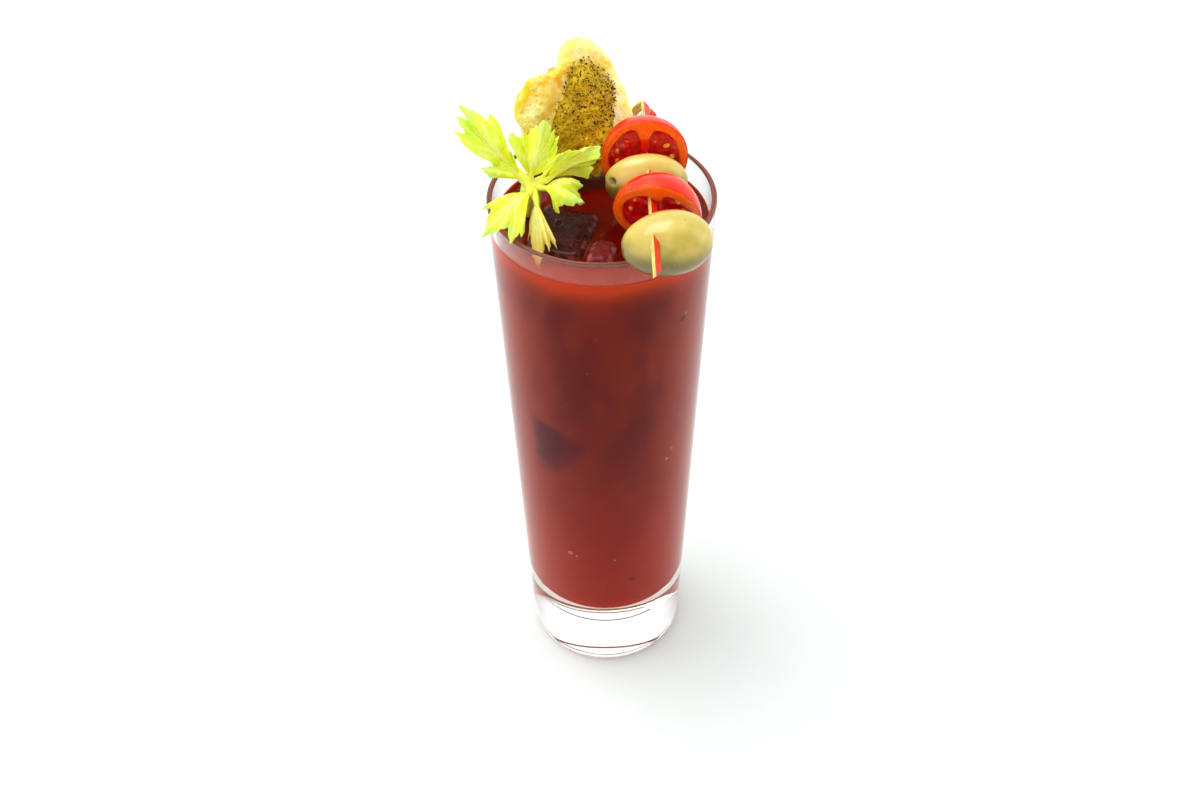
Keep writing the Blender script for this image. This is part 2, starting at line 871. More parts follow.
@dataclass(frozen=True)
class CherryTomato(Finish):
    """Glossy skin, orange-red wet flesh at the cut and darker chamber walls."""

    name: str = "cherry_tomato"
    skin: Colour = shown(238, 34, 2)
    light: Colour = shown(249, 76, 4)
    flesh: Colour = shown(255, 104, 10)
    fibre: Colour = shown(255, 136, 36)
    heart: Colour = shown(248, 24, 8)
    wall: Colour = shown(214, 12, 14)
    dot: Colour = shown(250, 120, 40)

    def paint(self, g: Graph) -> None:
        """Set the finish's colours and surface.

        Args:
            g: Graph of the new material.
        """
        cut, chamber, heart = g.value("cut"), g.value("chamber"), g.value("heart")
        colour = g.mix(g.ramp(g.noise(8.0, 3.0), 0.38, 0.66), self.skin, self.light)
        dots = g.ramp(g.cells(0.9), 0.1, 0.2, 0.22, 0.0)
        colour = g.mix(dots, colour, self.dot)
        strands = g.noise(0.8, 4.0, 0.65)
        flesh = g.mix(g.ramp(strands, 0.42, 0.7), self.flesh, self.fibre)
        flesh = g.mix(g.ramp(heart, 0.2, 0.9), flesh, self.heart)
        flesh = g.mix(chamber, flesh, self.wall)
        colour = g.mix(cut, colour, flesh)
        g.dress(Base_Color=colour, Roughness=g.ramp(cut, 0.0, 1.0, 0.22, 0.32), IOR=1.4)
        g.dress(Coat_Weight=0.35, Coat_Roughness=0.1)
        g.seep(0.6, 4.5, 1.5, 0.3)
        relief = g.times(g.minus(strands, 0.5), cut)
        g.bump(g.plus(relief, g.ramp(g.noise(3.5, 2.0), 0.0, 1.0, 0.0, 0.4)), 0.12, 0.5)


@dataclass(frozen=True)
class TomatoGel(Finish):
    """Wet dark red gel round the seeds."""

    name: str = "tomato_gel"
    deep: Colour = shown(182, 2, 16)
    light: Colour = shown(234, 24, 20)

    def paint(self, g: Graph) -> None:
        """Set the finish's colours and surface.

        Args:
            g: Graph of the new material.
        """
        swirl = g.noise(1.5, 4.0, 0.6)
        colour = g.mix(g.ramp(swirl, 0.4, 0.68), self.deep, self.light)
        g.dress(Base_Color=colour, Roughness=0.1, IOR=1.36, Coat_Weight=0.7, Coat_Roughness=0.03)
        g.seep(0.35, 2.0, 0.3, 0.2)
        g.bump(g.noise(0.9, 3.0), 0.12, 0.5)


@dataclass(frozen=True)
class TomatoSeed(Finish):
    """Pale yellow seed under a film of orange gel."""

    name: str = "tomato_seed"
    seed: Colour = shown(244, 170, 60)
    film: Colour = shown(214, 60, 16)

    def paint(self, g: Graph) -> None:
        """Set the finish's colours and surface.

        Args:
            g: Graph of the new material.
        """
        tone = g.plus(g.value("tone"), g.ramp(g.noise(0.6, 3.0), 0.3, 0.7, -0.3, 0.3))
        colour = g.mix(g.ramp(tone, 0.0, 1.0), self.seed, self.film)
        g.dress(Base_Color=colour, Roughness=0.22, IOR=1.38, Coat_Weight=0.5, Coat_Roughness=0.05)
        g.seep(0.3, 1.0, 0.5, 0.2)
        g.bump(g.noise(0.4, 2.0), 0.05, 0.5)


@dataclass(frozen=True)
class Backdrop(Finish):
    """Plain pale matt surface."""

    name: str = "backdrop"
    colour: Colour = (0.8, 0.84, 0.825)

    def paint(self, g: Graph) -> None:
        """Set the finish's colours and surface.

        Args:
            g: Graph of the new material.
        """
        g.dress(Base_Color=self.colour, Roughness=0.7, Specular_IOR_Level=0.1)


# Glass and drink


@dataclass
class Tumbler:
    """Slim tapered glass with a thick clear base; sizes in millimetres."""

    height: float = 165.0
    foot_radius: float = 23.64
    rim_radius: float = 29.01
    rim_wall: float = 1.4
    low_wall: float = 1.8
    floor_height: float = 25.5
    floor_fillet: float = 5.0
    heel_fillet: float = 2.4
    neck_depth: float = 1.6
    wall_rows: int = 14
    turns: int = 192

    def outer(self, z: Array | float) -> Array | float:
        """Outside radius at a height: a straight taper from foot to rim."""
        return self.foot_radius + (self.rim_radius - self.foot_radius) * z / self.height

    def inner(self, z: Array | float) -> Array | float:
        """Inside radius at a height: the wall thickens evenly downwards."""
        return self.outer(z) - (self.low_wall + (self.rim_wall - self.low_wall) * z / self.height)

    def corner(self, grow: float, count: int) -> Array:
        """The rounded corner of floor and wall, grown into the glass, from the floor to the wall.

        Args:
            grow: How far outside the glass's own corner.
            count: Number of points.

        Returns:
            Rows of (radius, height).
        """
        height = self.floor_height + self.floor_fillet
        centre = (self.inner(height) - self.floor_fillet, height)
        return arc(centre, self.floor_fillet + grow, -90.0, 0.0, count)

    def build(self) -> None:
        """The glass as one turned wall from the inside of its floor over the rim to its foot."""
        half, fillet = self.rim_wall / 2, self.heel_fillet
        rim = arc((self.rim_radius - half, self.height - half), half, 180.0, 0.0, 17)
        heel = arc((self.outer(fillet) - fillet, fillet), fillet, 0.0, -90.0, 13)
        corner = self.corner(0.0, 17)
        neck = self.height - self.neck_depth
        wall_z = np.append(np.linspace(corner[-1, 1], neck, self.wall_rows)[1:], neck + 0.4)
        side_z = np.insert(np.linspace(neck, heel[0, 1] + 0.6, self.wall_rows), 0, neck + 0.4)
        profile = np.concatenate(
            [
                [[0.0, self.floor_height], [corner[0, 0] * 0.5, self.floor_height]],
                corner,
                np.stack([self.inner(wall_z), wall_z], axis=-1),
                rim,
                np.stack([self.outer(side_z), side_z], axis=-1),
                heel,
                [[heel[-1, 0] * 0.5, 0.0], [0.0, 0.0]],
            ]
        )
        r, z = profile[:, :1], profile[:, 1:]
        heel_share = (1.0 - ease(z, 1.6, 2.6)) * ease(r, self.foot_radius - 3.0, self.foot_radius - 1.8)
        values = {"rim": ease(z, self.height - 0.9, self.height - 0.25), "heel": heel_share}
        surface = Surface.grid(revolve(profile, self.turns), values)
        surface.piece("glass_wall", Slot.GLASS, ("glass",), ClearGlass().material())


@dataclass
class BaseRings:
    """Fine red lines that the drink's underside draws in the clear base: rings just inside its wall."""

    glass: Tumbler
    rings: tuple[tuple[float, float, float], ...] = ((21.7, 0.45, 0.22), (3.0, 0.5, 0.2))
    turns: int = 300

    def build(self) -> None:
        """Rings of (height, distance into the wall, half thickness), uneven by noise round each."""
        parts = []
        turn = np.linspace(0.0, 2.0 * np.pi, self.turns, endpoint=False)
        section = np.linspace(0.0, 2.0 * np.pi, 9)[:, None]
        round_it = around(8.0, turn, 0.0)
        tone = 0.5 + 0.5 * Noise(52).at(round_it, 1.2)
        for height, inset, half in self.rings:
            swell = 1.0 + 0.55 * Noise(51).layered(round_it + height, 2.6, 3)
            radius = self.glass.outer(height) - inset + 0.6 * half * swell * np.cos(section)
            points = around(radius, turn, height + half * swell * np.sin(section))
            parts.append(Surface.grid(points, {"tone": tone}))
        finish = Flakes("base_lines", shown(96, 30, 26), shown(150, 74, 60), shown(206, 150, 90))
        Surface.joined(parts).piece("base_lines", Slot.JUICE, (), finish.material())


@dataclass
class SunkIce:
    """A block of ice that shows through the drink as a soft dark patch: corners on the wall in (x, z)."""

    corners: tuple[Place, ...]
    soft: float
    depth: float

    def shade(self, x: Array, z: Array) -> Array:
        """Darkness at points of the wall: the least signed distance inside the corners' sides, eased.

        Args:
            x: Places across.
            z: Heights.

        Returns:
            Shares from 0 to depth.
        """
        inside = np.full(x.shape, np.inf)
        for (x0, z0), (x1, z1) in zip(self.corners, self.corners[1:] + self.corners[:1]):
            length = math.hypot(x1 - x0, z1 - z0)
            inside = np.minimum(inside, ((x1 - x0) * (z - z0) - (z1 - z0) * (x - x0)) / length)
        return self.depth * ease(inside, -self.soft, self.soft)


@dataclass
class Juice:
    """The drink up to its level, whose wall reaches just into the glass, so that no air shows between."""

    glass: Tumbler
    level: float = LEVEL
    into_wall: float = 0.25
    meniscus: float = 1.1
    meniscus_length: float = 0.9
    band_length: float = 3.9
    film_half_angle: float = 82.0
    film_gaps: Place = (0.04, 0.1)
    bit_count: int = 330
    top_rows: int = 70
    wall_rows: int = 185
    turns: int = 220
    ice: tuple[SunkIce, ...] = (
        SunkIce(((-18.3, 90.0), (-14.5, 90.0), (-11.0, 97.0), (-11.8, 103.6), (-18.3, 105.3)), 1.3, 0.4),
        SunkIce(((-18.3, 85.0), (-12.0, 86.5), (-5.2, 98.0), (-6.4, 102.4), (-12.0, 104.4), (-18.3, 105.6)),
                2.4, 0.6),
        SunkIce(((-18.9, 113.5), (-15.2, 115.0), (-15.6, 126.5), (-18.6, 127.0)), 2.0, 0.4),
        SunkIce(((0.0, 112.0), (4.4, 111.5), (4.6, 121.0), (-0.6, 122.5)), 2.4, 0.26),
        SunkIce(((-26.4, 144.0), (-22.2, 142.8), (-22.6, 148.0), (-26.4, 149.0)), 2.0, 0.5),
        SunkIce(((-14.0, 62.0), (-4.0, 58.0), (-2.0, 74.0), (-12.0, 80.0)), 4.5, 0.16),
        SunkIce(((4.0, 58.0), (10.0, 60.0), (13.0, 76.0), (7.0, 80.0)), 4.5, 0.18),
        SunkIce(((7.0, 90.0), (19.0, 94.0), (20.0, 108.0), (9.0, 106.0)), 4.5, 0.16),
    )
    plain_bits: tuple[tuple[float, float, float, float], ...] = (
        (19.5, 139.7, 0.95, 0.1), (20.2, 140.9, 0.6, 0.95), (-9.9, 52.3, 0.95, 0.95),
        (-8.2, 51.6, 0.55, 0.95), (7.5, 40.4, 0.9, 0.1), (2.6, 51.0, 0.45, 0.95), (-4.0, 128.0, 0.3, 0.95),
        (16.5, 89.0, 0.7, 0.95), (17.8, 92.0, 0.5, 0.95), (4.4, 96.0, 0.45, 0.1), (19.4, 104.0, 0.4, 0.95),
    )

    def profile(self) -> Array:
        """Rows (r, z) from the middle of the top over the meniscus and down the wall to the floor's middle.

        The meniscus rises as height * exp(-distance from the wall / length).

        Returns:
            Rows of (radius, height).
        """
        edge = self.glass.inner(self.level + self.meniscus) + self.into_wall
        r = edge * (1.0 - (1.0 - np.linspace(0.0, 1.0, self.top_rows)) ** 1.6)
        top = np.stack([r, self.level + self.meniscus * np.exp((r - edge) / self.meniscus_length)], axis=-1)
        corner = self.glass.corner(self.into_wall, 14)[::-1]
        z = np.linspace(self.level + self.meniscus, corner[0, 1], self.wall_rows)[1:-1]
        wall = np.stack([self.glass.inner(z) + self.into_wall, z], axis=-1)
        floor = np.stack([corner[-1, 0] * np.linspace(0.85, 0.0, 8), np.full(8, corner[-1, 1])], axis=-1)
        return np.concatenate([top, wall, corner, floor])

    def build(self) -> None:
        """The turned body with a gently uneven top and the values that colour it."""
        profile = self.profile()
        points = revolve(profile, self.turns)
        r, z = profile[:, :1], profile[:, 1:]
        noise = Noise(5)
        inside = 1.0 - ease(r, self.glass.inner(self.level) - 3.0, self.glass.inner(self.level))
        on_top = np.arange(len(profile))[:, None] < self.top_rows - 1
        edge = profile[self.top_rows - 1, 0]
        surface = on_top * (1.0 - ease(r, edge - 0.7, edge - 0.2))
        points[..., 2] += surface * inside * 0.22 * noise.layered(points, 9.0)
        wobble = noise.at(points, 11.0) * 1.4
        below = self.level - points[..., 2] + wobble
        band = np.exp(-np.clip(below, 0.0, None) / self.band_length) * (1.0 - surface)
        front = ease(-points[..., 1], -4.0, 6.0)
        uneven_x = points[..., 0] + noise.at(points, 5.0) * 0.7
        shade = sum(block.shade(uneven_x, points[..., 2]) for block in self.ice)
        bottom = ease(108.0 - points[..., 2] + 6.0 * noise.at(points, 14.0), -8.0, 92.0)
        under = ease(self.glass.floor_height + 2.2 - points[..., 2], 0.0, 2.0)
        values = {"surface": surface, "band": band, "sunk_ice": np.clip(shade * front, 0.0, 1.0)}
        values.update(low=bottom, under=under)
        body = Surface.grid(points, values)
        body.piece("drink_body", Slot.JUICE, ("drink",), TomatoJuice().material())

    def wall_frames(self, turn: Array, z: Array, lift: float) -> tuple[Array, Array]:
        """Points on the drink's wall and the directions out of it.

        Args:
            turn: Angle about Z in radians, 0 at +X.
            z: Height of each point.
            lift: How far out of the drink.

        Returns:
            Points and unit normals, n by 3 each.
        """
        return around(self.glass.inner(z) + self.into_wall + lift, turn, z), around(1.0, turn, 0.0)

    def film(self) -> None:
        """A thin smear on the front of the wall between level and rim, which fades upwards."""
        across = np.linspace(-1.0, 1.0, 150)
        turn = np.radians(270.0 + self.film_half_angle * across)
        share = np.linspace(0.0, 1.0, 16)[:, None]
        z = self.level + 0.5 + share * (self.glass.height - self.level - 2.0)
        cover = (1.0 - 0.65 * share) * ease(1.0 - np.abs(across), 0.0, 0.35)
        sheets = [around(self.glass.inner(z) - gap, turn, z) for gap in self.film_gaps]
        surface = Surface.grid(top_and_bottom(*sheets), {"cover": top_and_bottom(cover, cover)})
        surface.piece("drink_film", Slot.JUICE, (), JuiceFilm().material())

    def bits(self) -> None:
        """Pulp, pepper and tiny bubbles against the glass, scattered at random with a fixed seed."""
        draw = np.random.default_rng(11)
        count = self.bit_count
        turn = draw.uniform(0.0, 2.0 * np.pi, count)
        z = draw.uniform(self.glass.floor_height + 6.0, self.level - 4.0, count)
        size = 0.13 + 0.22 * draw.random(count) ** 3
        tone = draw.choice([0.1, 0.5, 0.95], count, p=[0.25, 0.3, 0.45])
        x, height, half, shade = np.array(self.plain_bits).T
        turn = np.concatenate([turn, -np.arccos(np.clip(x / self.glass.inner(height), -1.0, 1.0))])
        z, size, tone = (np.concatenate(pair) for pair in ((z, height), (size, half), (tone, shade)))
        centres, normals = self.wall_frames(turn, z, -0.02)
        halves = np.stack([size, size * draw.uniform(0.6, 1.0, len(size)), 0.1 + 0.12 * size], axis=-1)
        frames = frames_along(normals, draw.uniform(0.0, np.pi, len(size)))
        finish = Flakes("drink_bits", shown(70, 16, 20), shown(150, 50, 34), shown(214, 120, 84))
        surface = balls(centres, halves, frames, tone, 5)
        surface.piece("drink_bits", Slot.JUICE, (), finish.material())


@dataclass
class IceCube:
    """A melting block: a box with its corners rounded by clamping to a smaller box; millimetres, degrees."""

    node: str
    centre: Place
    size: Point
    turn: float
    tilt: Place
    finish: StainedIce
    rise: float = 1.9
    rounding: float = 2.4
    steps: int = 44

    def build(self) -> None:
        """Six face grids, rounded, roughened by noise and put in place."""
        half = np.array(self.size) / 2
        u, v = np.meshgrid(*[np.sin(np.linspace(-np.pi / 2, np.pi / 2, self.steps))] * 2, indexing="ij")
        core = half - self.rounding
        noise = Noise(21)
        turn = rotation("Z", self.turn) @ rotation("Y", self.tilt[1]) @ rotation("X", self.tilt[0])
        place = np.array([*self.centre, LEVEL + self.rise - half[2]])
        faces = []
        for axis, sign in itertools.product(range(3), (-1.0, 1.0)):
            cube = np.empty(u.shape + (3,))
            cube[..., axis] = sign
            cube[..., (axis + 1) % 3] = u
            cube[..., (axis + 2) % 3] = v
            box = cube * half
            nearest = np.clip(box, -core, core)
            away = unit(box - nearest)
            melt = 0.45 * noise.layered(box, 5.5, 2) + 0.1 * noise.at(box, 1.3)
            local = nearest + away * (self.rounding + melt[..., None])
            edge = ease(np.sort(np.abs(away), axis=-1)[..., 1], 0.25, 0.6)
            faces.append(Surface.grid(local @ turn.T + place, {"edge": edge}, wrap=False))
        surface = Surface.joined(faces)
        surface.piece(self.node + "_melting", Slot.ICE, (self.node,), self.finish.material())


# Toast and spread


@dataclass
class ToastFace:
    """The toast's front face: a plane that leans back, bulges across and steps up at a fold."""

    foot: Point = (-4.0, 13.2, LEVEL)
    lean: float = 27.0
    turn: float = 15.0
    bulge: float = 0.004
    lobe_rise: float = 2.2
    lobe_step: float = 4.6
    lobe_top: Place = (30.5, 34.5)
    crease_top: Place = (0.2, 33.0)
    crease_foot: Place = (-11.0, 17.0)

    def beyond_crease(self, u: Array, v: Array) -> Array:
        """Distance from the crease, greater than 0 on the folded lobe."""
        du, dv = self.crease_foot[0] - self.crease_top[0], self.crease_foot[1] - self.crease_top[1]
        return -(du * (v - self.crease_top[1]) - dv * (u - self.crease_top[0])) / math.hypot(du, dv)

    def point(self, u: Array, v: Array) -> Array:
        """foot + across u + up v + out (eased lobe rise, which fades at the top, - bulge u^2).

        Args:
            u: Places across the face.
            v: Places up the face.

        Returns:
            Points, with a last axis of 3.
        """
        turn = rotation("Z", self.turn)
        lean = math.radians(self.lean)
        across = turn @ np.array([1.0, 0.0, 0.0])
        up = turn @ np.array([0.0, math.sin(lean), math.cos(lean)])
        step = self.lobe_rise * ease(self.beyond_crease(u, v), -self.lobe_step / 2, self.lobe_step / 2)
        step = step * (1.0 - ease(v, *self.lobe_top))
        out = step - self.bulge * u * u
        return (
            np.array(self.foot)
            + u[..., None] * across
            + v[..., None] * up
            + out[..., None] * np.cross(across, up)
        )

    def normal(self, u: Array, v: Array) -> Array:
        """Cross product of the steps to points a little further across and up.

        Args:
            u: Places across the face.
            v: Places up the face.

        Returns:
            Unit vectors.
        """
        small = 0.05
        here = self.point(u, v)
        return unit(np.cross(self.point(u + small, v) - here, self.point(u, v + small) - here))


@dataclass
class ToastSlice:
    """Thin slice with a folded lobe; outline across and up its face in millimetres."""

    face: ToastFace
    thickness: float = 5.2
    rim_start: float = 0.86
    columns: int = 300
    rings: int = 74
    outline: tuple[Place, ...] = (
        (15.4, 15.2), (15.5, 19.5), (13.8, 26.0), (11.2, 32.4), (8.0, 36.9), (3.6, 38.6), (-0.6, 37.4),
        (-3.2, 33.6), (-8.2, 31.8), (-12.9, 28.5), (-15.6, 25.0), (-15.8, 20.0), (-13.4, 15.5),
        (-9.6, 11.0), (-8.2, 5.0), (-7.0, -5.5), (0.5, -7.5), (8.0, -6.0), (9.2, 3.0), (11.2, 10.2),
    )

    def build(self) -> None:
        """Front and back discs that meet at a rounded rim.

        A ring at share s keeps its outline; the half thickness shrinks near the rim as sqrt(1 - e^2), where
        e is the share of the way through the rim's rounding. Noise moves the crumb along the face's normal.
        """
        corners = np.array(self.outline)
        share = np.linspace(0.0, 1.0, self.columns, endpoint=False)
        edge = closed_curve(corners, share)
        middle = corners.mean(axis=0)
        noise = Noise(3)
        ragged = noise.layered(np.append(edge, 0.0 * edge[:, :1], axis=1), 3.0, 3)
        ring = 1.0 - (1.0 - np.linspace(0.0, 1.0, self.rings)) ** 1.35
        spread = ring[:, None, None] * (1.0 + 0.014 * ragged * ring[:, None])[..., None]
        plane = middle + (edge - middle) * spread
        u, v = plane[..., 0], plane[..., 1]
        base, normal = self.face.point(u, v), self.face.normal(u, v)
        near_rim = np.clip((ring - self.rim_start) / (1.0 - self.rim_start), 0.0, 1.0)[:, None]
        half = self.thickness / 2 * np.sqrt(np.clip(1.0 - near_rim**2, 0.0, 1.0))
        crumb = 0.16 * noise.layered(base, 2.6, 4) + 0.28 * noise.at(base, 7.0)
        pits = -0.35 * ease(noise.at(base, 1.5), 0.45, 0.9)
        rough = (crumb + pits) * (half > 0.02)
        middle_line = base - normal * self.thickness / 2
        front = middle_line + normal * (half + rough)[..., None]
        back = middle_line - normal * (half + rough)[..., None]
        beyond = self.face.beyond_crease(u, v)
        blotch = 0.5 + 0.5 * noise.at(base, 4.2)
        out = ring[:, None]
        crease = np.exp(-(((beyond + 0.2) / 1.7) ** 2)) * ease(v, 8.0, 16.0) * (1.0 - ease(v, 30.0, 35.0))
        left_rim = ease(beyond, 4.0, 9.0) * ease(out, 0.7, 0.98) * (1.0 - ease(v, 30.0, 33.0))
        ridge = ease(beyond, 0.5, 3.0) * ease(out, 0.5, 0.85) * ease(v, 22.0, 27.0)
        ridge = ridge * (1.0 - ease(v, 31.0, 33.5))
        top_rim = 0.15 * ease(v, 30.0, 38.0) * ease(out, 0.8, 1.0)
        patches = 0.85 * ease(blotch, 0.5, 0.8) * (1.0 - 0.6 * ease(v, 31.0, 35.0))
        gold = np.clip(crease + ridge + left_rim + top_rim + patches, 0.0, 1.0)
        burnt = np.clip(0.6 * left_rim + ridge + 0.25 * crease + 0.3 * ease(blotch, 0.7, 0.95), 0.0, 1.0)
        soaked = 1.0 - ease(v + 1.5 * noise.at(base, 3.0), 3.0, 8.5)
        back_gold = np.clip(0.1 + 0.2 * ease(out, 0.7, 1.0) + 0.4 * blotch, 0.0, 1.0)
        values = {
            "gold": front_and_back(gold, back_gold),
            "burnt": front_and_back(burnt, 0.3 * back_gold),
            "soaked": front_and_back(soaked, soaked),
        }
        surface = Surface.grid(front_and_back(front, back), values)
        surface.piece("toast_slice", Slot.TOAST, ("toast",), ToastedBread().material())


@dataclass
class HerbSpread:
    """Layer of herb paste on the toast's face, with loose flakes on it."""

    face: ToastFace
    lift: float = 1.55
    sink: float = 0.8
    flake_count: int = 1500
    columns: int = 260
    rings: int = 90
    outline: tuple[Place, ...] = (
        (9.6, 13.5), (9.9, 19.0), (10.8, 24.0), (9.6, 28.0), (6.4, 31.8), (2.6, 33.2), (-0.3, 31.2),
        (-2.2, 27.0), (-6.0, 21.4), (-8.6, 16.4), (-7.2, 10.0), (-4.2, 4.6), (2.6, 2.6), (7.6, 5.4),
    )

    def plane(self, share: Array, ring: Array) -> tuple[Array, Array]:
        """Places (u, v) at shares round the outline and of the way out to its uneven edge.

        Args:
            share: Shares round the outline.
            ring: Shares of the way out.

        Returns:
            Places u and v.
        """
        corners = np.array(self.outline)
        edge = closed_curve(corners, share)
        middle = corners.mean(axis=0)
        flat = np.append(edge, 0.0 * edge[..., :1], axis=-1)
        uneven = 1.0 + 0.03 * Noise(8).layered(flat, 1.8, 3)
        place = middle + (edge - middle) * (uneven * ring)[..., None]
        return place[..., 0], place[..., 1]

    def heights(self, base: Array) -> Array:
        """Grainy height of the paste, as layers of noise."""
        noise = Noise(9)
        return 0.24 * noise.layered(base, 1.5, 3) + 0.3 * noise.at(base, 5.0)

    def top(self, base: Array, ring: Array) -> Array:
        """Height of the paste's surface over the toast's face; it slopes down into the crumb at its edge."""
        slope = 1.0 - ease(ring, 0.62, 1.0)
        return -0.1 + (self.lift + 0.1 + self.heights(base)) * slope

    def build(self) -> None:
        """A disc that thins to its edge and ends a little inside the toast."""
        share = np.linspace(0.0, 1.0, self.columns, endpoint=False)[None, :]
        ring = (1.0 - (1.0 - np.linspace(0.0, 1.0, self.rings)) ** 1.2)[:, None]
        u, v = self.plane(share + 0.0 * ring, ring + 0.0 * share)
        base, normal = self.face.point(u, v), self.face.normal(u, v)
        front = base + normal * self.top(base, ring)[..., None]
        back = base - normal * self.sink
        coarse = ease(u, 1.0, 7.0) * ease(v, 17.0, 25.0) + 0.3 * ease(-v, -12.0, -4.0)
        border = ease(ring, 0.9, 0.99) + 0.0 * share
        values = {"coarse": front_and_back(coarse, coarse), "border": front_and_back(border, border)}
        surface = Surface.grid(front_and_back(front, back), values)
        surface.piece("herb_paste", Slot.PASTE, ("herb_spread",), HerbPaste().material())

    def flakes(self) -> None:
        """Bits of herb and crumb scattered evenly over the paste, denser at the upper right."""
        draw = np.random.default_rng(17)
        count = self.flake_count
        share = draw.random(count)
        ring = 1.05 * np.sqrt(draw.random(count))
        u, v = self.plane(share, ring)
        dense = 0.45 + 0.55 * ease(u, 0.0, 7.0) * ease(v, 14.0, 24.0)
        kept = draw.random(count) < dense
        u, v = u[kept], v[kept]
        base, normal = self.face.point(u, v), self.face.normal(u, v)
        centres = base + normal * np.maximum(self.top(base, ring[kept]) + 0.02, 0.12)[:, None]
        number = len(u)
        size = 0.13 + 0.26 * draw.random(number) ** 2
        halves = np.stack([size, size * draw.uniform(0.4, 0.9, number), 0.09 + 0.3 * size], axis=-1)
        tilt = unit(normal + 0.35 * draw.normal(size=(number, 3)))
        frames = frames_along(tilt, draw.uniform(0.0, np.pi, number))
        tone = draw.choice([0.1, 0.6, 0.95], number, p=[0.52, 0.42, 0.06])
        finish = Flakes("herb_flakes", shown(70, 36, 8), shown(186, 150, 24), shown(240, 222, 160))
        surface = balls(centres, halves, frames, tone, 5)
        surface.piece("herb_flakes", Slot.PASTE, (), finish.material())


# Celery


@dataclass
class Leaf:
    """One leaf: a fan from its base to its tip, whose edge is cut into pointed teeth.

    beside sets the plane, half_angle the fan, bend its arch and ripple its waves. teeth holds (place across
    the fan from -1 to 1, reach as a share of the length) for each tooth of the edge.
    """

    name: str
    base: Point
    tip: Point
    beside: Point
    half_angle: float
    bend: float
    ripple: float
    teeth: tuple[Place, ...]
    old: float = 0.0
    columns: int = 150
    rows: int = 46
    thickness: float = 0.5

    def axes(self) -> tuple[Array, Array, Array, float]:
        """The leaf's base, the directions along it and out of its face, and its length.

        Returns:
            Base, along, normal and length.
        """
        base, tip, beside = (np.array(p) for p in (self.base, self.tip, self.beside))
        along = unit(tip - base)
        return base, along, unit(np.cross(along, beside - base)), float(np.linalg.norm(tip - base))

    def reach(self, t: Array) -> Array:
        """Share of the length that the edge reaches: the greatest spike, height - 0.85 |t - place|^0.9.

        Args:
            t: Places across the fan from -1 to 1.

        Returns:
            Shares of the length.
        """
        spikes = [height - 0.85 * np.abs(t - place) ** 0.9 for place, height in self.teeth]
        saw = 0.045 * np.abs((t * 8.0 + len(self.name) * 0.37) % 1.0 - 0.5) * 2.0
        return np.clip(np.max(spikes, axis=0) - saw, 0.22, None)

    def build(self) -> Surface:
        """Front and back sheets of the fan that meet at a thin edge.

        The place at share s and t is base + length s reach(t) (along cos a + side sin a) + normal wave, where
        a is t times the half angle, and wave is an arch 4 bend s (1 - s) with ripples that grow to the edge.

        Returns:
            The leaf's surface.
        """
        base, along, normal, length = self.axes()
        side = np.cross(normal, along)
        share = np.linspace(0.0, 1.0, self.rows)[:, None]
        t = np.linspace(-1.0, 1.0, self.columns)[None, :]
        angle = t * math.radians(self.half_angle)
        radial = length * (0.06 + 0.94 * share * self.reach(t))
        furrow = np.zeros_like(radial)
        for place, height in self.teeth:
            off = np.abs(t - place * np.minimum(1.0, share * 1.3)) * math.radians(self.half_angle) * radial
            width = 0.16 + 0.22 * (1.0 - share)
            groove = height * np.exp(-((off / width) ** 2)) * ease(1.02 - share, 0.0, 0.35)
            furrow = np.maximum(furrow, groove)
        curl = 1.25 * self.ripple * share * np.sin(t * 7.0 + length)
        fine = 0.7 * self.ripple * share**2 * np.sin(t * 15.0 + 2.0 * length + 3.0 * share)
        wave = self.bend * 4.0 * share * (1.0 - share) + curl + fine
        centre = (
            base
            + radial[..., None] * (np.cos(angle)[..., None] * along + np.sin(angle)[..., None] * side)
            + wave[..., None] * normal
        )
        crinkle = 0.24 * Noise(31).layered(centre, 1.9, 2)
        centre = centre + (crinkle - 0.07 * furrow)[..., None] * normal
        edge = np.minimum(ease(1.0 - share, 0.0, 0.12), ease(1.0 - np.abs(t), 0.0, 0.1))
        half = 0.5 * (0.16 + (self.thickness - 0.16) * edge + 0.5 * furrow * (1.0 - share))
        top, bottom = centre + half[..., None] * normal, centre - half[..., None] * normal
        sheet = top_and_bottom(top, bottom)
        first = sheet[:1].mean(axis=1, keepdims=True) + 0.0 * sheet[:1]
        last = top_and_bottom(centre[-1:], centre[-1:])
        values = {"old": np.array([[self.old]])}
        for name, value in (("reach", share * self.reach(t)), ("vein", furrow)):
            both = top_and_bottom(value, value)
            values[name] = np.concatenate([both[:1], both, both[-1:]])
        return Surface.grid(np.concatenate([first, sheet, last]), values)

    def rib_path(self, node: Array) -> Array:
        """Points from the stalk's top through the base and out along the middle of the leaf.

        Args:
            node: The stalk's top.

        Returns:
            Points, n by 3.
        """
        base, along, normal, length = self.axes()
        share = np.array([0.12, 0.3, 0.5, 0.7])
        wave = self.bend * 4.0 * share * (1.0 - share) + self.ripple * share * math.sin(length)
        out = base + (length * (0.06 + 0.94 * share))[:, None] * along + (wave - 0.25)[:, None] * normal
        return np.concatenate([[node, (node + base) / 2 + 0.2 * normal, base], out])


